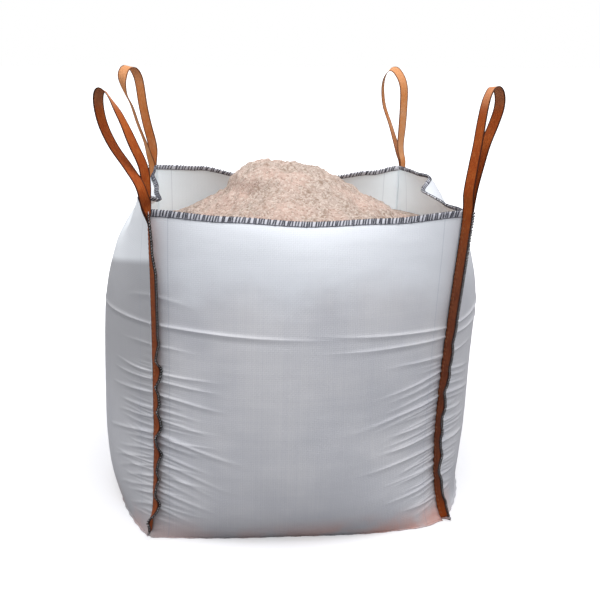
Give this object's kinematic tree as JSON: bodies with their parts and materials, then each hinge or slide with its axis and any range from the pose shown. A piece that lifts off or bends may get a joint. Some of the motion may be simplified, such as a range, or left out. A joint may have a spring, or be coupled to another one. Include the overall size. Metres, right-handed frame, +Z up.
{
  "type": "bulk bag",
  "caption": "Filled woven bulk bag with bulging walls, turned-out webbing corner seams, an overlocked open rim, standing lifting loops and a heaped load of sand.",
  "frame": {"origin": "on the floor under the bag's middle, where the lines between opposite corners cross", "axes": "+X to the right along the front wall, +Y from the front wall to the back wall, +Z up"},
  "size_m": [1.0963, 1.0684, 1.22],
  "materials": {
    "fabric": "coated woven polypropylene, satin white",
    "webbing": "woven polypropylene webbing, rust orange",
    "thread": "dark and white overlock thread",
    "sand": "loose building sand, pinkish beige"
  },
  "bodies": {
    "bag": {"base_panel": "fabric", "sand_fill": "sand", "front_panel": "fabric", "front_rim_hem": "thread", "front_base_seam": "fabric", "right_panel": "fabric", "right_rim_hem": "thread", "right_base_seam": "fabric", "back_panel": "fabric", "back_rim_hem": "thread", "back_base_seam": "fabric", "left_panel": "fabric", "left_rim_hem": "thread", "left_base_seam": "fabric", "front_left_seam": "fabric", "front_left_seam_thread": "thread", "front_left_webbing_first_leg": "webbing", "front_left_webbing_second_leg": "webbing", "front_right_seam": "fabric", "front_right_seam_thread": "thread", "front_right_webbing_first_leg": "webbing", "front_right_webbing_second_leg": "webbing", "back_right_seam": "fabric", "back_right_seam_thread": "thread", "back_right_webbing_first_leg": "webbing", "back_right_webbing_second_leg": "webbing", "back_left_seam": "fabric", "back_left_seam_thread": "thread", "back_left_webbing_first_leg": "webbing", "back_left_webbing_second_leg": "webbing"},
    "front_left_loop_swing": {"front_left_loop": "webbing"},
    "front_right_loop_swing": {"front_right_loop": "webbing"},
    "back_right_loop_swing": {"back_right_loop": "webbing"},
    "back_left_loop_swing": {"back_left_loop": "webbing"}
  },
  "joints": [
    {"name": "front_left_loop_fold", "type": "hinge", "parent": "bag", "child": "front_left_loop_swing", "pos_m": [-0.4108, -0.4108, 0.8906], "axis": [0.7071, 0.7071, 0], "range_deg": [-59, 109]},
    {"name": "front_right_loop_fold", "type": "hinge", "parent": "bag", "child": "front_right_loop_swing", "pos_m": [0.4188, -0.4188, 0.8906], "axis": [-0.7071, 0.7071, 0], "range_deg": [-100, 68]},
    {"name": "back_right_loop_fold", "type": "hinge", "parent": "bag", "child": "back_right_loop_swing", "pos_m": [0.4148, 0.4148, 0.8906], "axis": [-0.7071, -0.7071, 0], "range_deg": [-94, 74]},
    {"name": "back_left_loop_fold", "type": "hinge", "parent": "bag", "child": "back_left_loop_swing", "pos_m": [-0.4148, 0.4148, 0.8906], "axis": [0.7071, -0.7071, 0], "range_deg": [-99, 69]}
  ]
}
